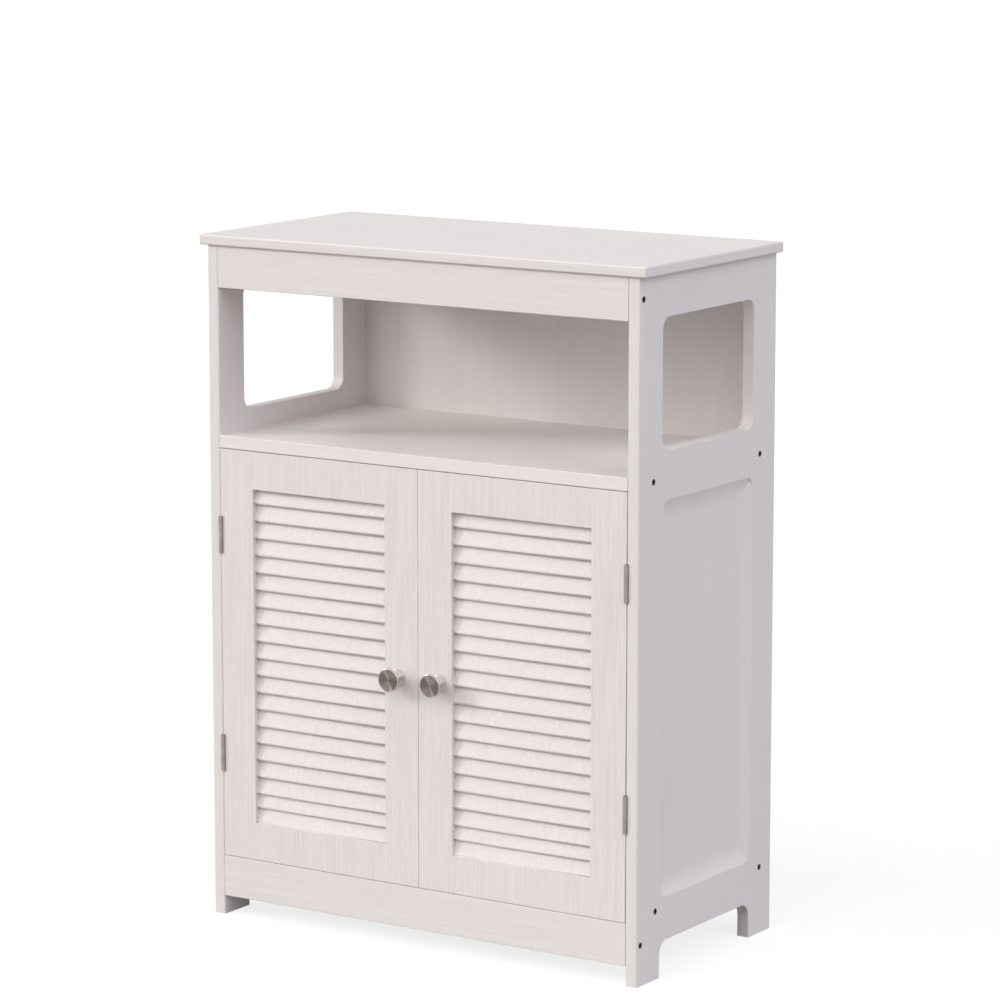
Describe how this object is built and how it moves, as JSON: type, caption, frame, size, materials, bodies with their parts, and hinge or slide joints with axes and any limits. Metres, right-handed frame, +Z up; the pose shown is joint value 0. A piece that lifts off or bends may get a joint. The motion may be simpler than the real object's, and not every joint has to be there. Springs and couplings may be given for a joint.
{
  "type": "louvred door cabinet",
  "caption": "Free-standing floor cabinet with an open bay over a cupboard closed by louvred hinged doors with knobs; framed side panels with a window and a foot cut-out.",
  "frame": {"origin": "on the floor, under the middle of the box that holds the whole cabinet with its knobs", "axes": "+X to the right seen from the front, +Y to the back, +Z up"},
  "size_m": [0.598, 0.315, 0.8],
  "materials": {
    "painted_board": "white satin paint over fibreboard with a fine embossed wood grain",
    "door_board": "white satin paint over fibreboard with an upright embossed grain",
    "slat_board": "smooth white satin paint",
    "back_board": "thin white-faced hardboard",
    "zinc_steel": "zinc-plated steel",
    "zinc_casting": "die-cast zinc",
    "hinge_steel": "nickel-plated steel",
    "knob_nickel": "turned and brushed nickel",
    "black_screw": "black-coated steel",
    "catch_plastic": "moulded plastic",
    "magnet": "ferrite magnet",
    "beech": "bare fluted beech"
  },
  "bodies": {
    "carcass": {"top_board": "painted_board", "side_panel_right": "painted_board", "side_panel_left": "painted_board", "top_front_rail": "painted_board", "kick_board": "painted_board", "middle_shelf": "painted_board", "bottom_board": "painted_board", "back_panel": "back_board", "back_nails": "zinc_steel", "adjustable_shelf": "painted_board", "shelf_pins": "zinc_steel", "side_screws": "black_screw", "board_dowels": "beech", "top_dowels": "beech", "cam_bolts": "zinc_steel", "cam_nuts": "zinc_casting", "hinge_frame_leaves": "hinge_steel", "hinge_pins": "hinge_steel", "hinge_frame_screws": "hinge_steel", "catch_housings": "catch_plastic", "catch_magnets": "magnet", "catch_screws": "zinc_steel"},
    "door_right": {"hinge_stile_right": "door_board", "meeting_stile_right": "door_board", "door_top_rail_right": "door_board", "door_bottom_rail_right": "door_board", "louvre_slats_right": "slat_board", "door_dowels_right": "beech", "hinge_door_leaves_right": "hinge_steel", "hinge_door_screws_right": "hinge_steel", "knob_right": "knob_nickel", "knob_screw_right": "zinc_steel", "strike_plate_right": "zinc_steel", "strike_screw_right": "zinc_steel"},
    "door_left": {"hinge_stile_left": "door_board", "meeting_stile_left": "door_board", "door_top_rail_left": "door_board", "door_bottom_rail_left": "door_board", "louvre_slats_left": "slat_board", "door_dowels_left": "beech", "hinge_door_leaves_left": "hinge_steel", "hinge_door_screws_left": "hinge_steel", "knob_left": "knob_nickel", "knob_screw_left": "zinc_steel", "strike_plate_left": "zinc_steel", "strike_screw_left": "zinc_steel"}
  },
  "joints": [
    {"name": "door_right_hinge", "type": "hinge", "parent": "carcass", "child": "door_right", "pos_m": [0.2746, -0.1393, 0.3125], "axis": [0, 0, 1], "range_deg": [0, 180]},
    {"name": "door_left_hinge", "type": "hinge", "parent": "carcass", "child": "door_left", "pos_m": [-0.2746, -0.1393, 0.3125], "axis": [0, 0, -1], "range_deg": [0, 180]}
  ]
}
